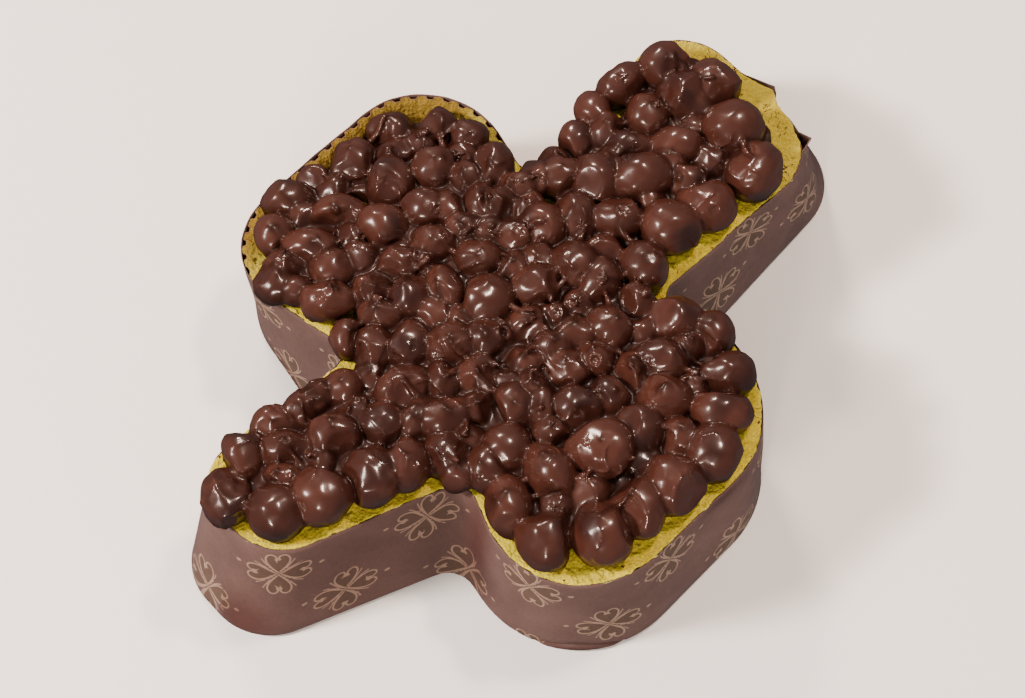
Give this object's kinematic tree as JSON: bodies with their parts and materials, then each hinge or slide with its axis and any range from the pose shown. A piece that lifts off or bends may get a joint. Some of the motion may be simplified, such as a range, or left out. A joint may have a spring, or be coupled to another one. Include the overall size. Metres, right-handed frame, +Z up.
{
  "type": "colomba easter bread",
  "caption": "Dove-shaped Easter bread in a corrugated paper baking case, its top covered with whole hazelnuts coated in glossy chocolate, with a narrow band of yellow crumb at the rim.",
  "frame": {"origin": "middle of the bounding box, at the underside of the paper case", "axes": "+X from the dove's head to its tail, +Y towards the rear wing, +Z up"},
  "size_m": [0.2899, 0.2083, 0.0689],
  "materials": {
    "paper_case": "satin",
    "crumb": "matte",
    "chocolate": "gloss"
  },
  "bodies": {
    "root": {"paper_case": "paper_case", "cake": "crumb", "chocolate_hazelnuts": "chocolate"}
  },
  "joints": []
}
